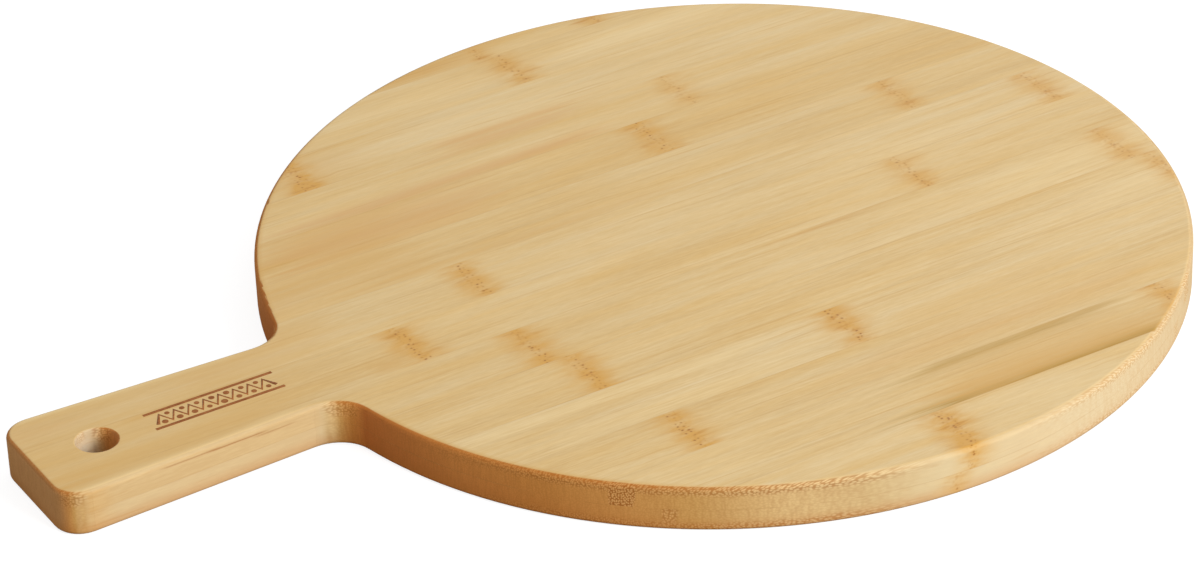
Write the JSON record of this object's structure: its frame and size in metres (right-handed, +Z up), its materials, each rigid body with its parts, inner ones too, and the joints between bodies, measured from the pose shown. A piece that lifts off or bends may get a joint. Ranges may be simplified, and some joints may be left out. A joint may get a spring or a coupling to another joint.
{
  "type": "pizza serving board",
  "caption": "Round bamboo serving board with a flared paddle handle and a hanging hole, pressed from layered flat strips.",
  "frame": {"origin": "centre of the round disc, on the underside that the board rests on", "axes": "+Z up from the underside to the serving face; the handle points along -X, so +X runs from the handle's end across the disc"},
  "size_m": [0.395, 0.3, 0.0154],
  "materials": {
    "face_bamboo": "sanded and oiled, satin, natural bamboo with node marks",
    "back_bamboo": "sanded and oiled, satin, natural bamboo with node marks"
  },
  "bodies": {
    "root": {"face_strip_01": "face_bamboo", "face_strip_02": "face_bamboo", "face_strip_03": "face_bamboo", "face_strip_04": "face_bamboo", "face_strip_05": "face_bamboo", "face_strip_06": "face_bamboo", "face_strip_07": "face_bamboo", "face_strip_08": "face_bamboo", "face_strip_09": "face_bamboo", "face_strip_10": "face_bamboo", "face_strip_11": "face_bamboo", "face_strip_12": "face_bamboo", "face_strip_13": "face_bamboo", "face_strip_14": "face_bamboo", "back_strip_01": "back_bamboo", "back_strip_02": "back_bamboo", "back_strip_03": "back_bamboo", "back_strip_04": "back_bamboo", "back_strip_05": "back_bamboo", "back_strip_06": "back_bamboo", "back_strip_07": "back_bamboo", "back_strip_08": "back_bamboo", "back_strip_09": "back_bamboo", "back_strip_10": "back_bamboo", "back_strip_11": "back_bamboo", "back_strip_12": "back_bamboo", "back_strip_13": "back_bamboo", "back_strip_14": "back_bamboo"}
  },
  "joints": []
}
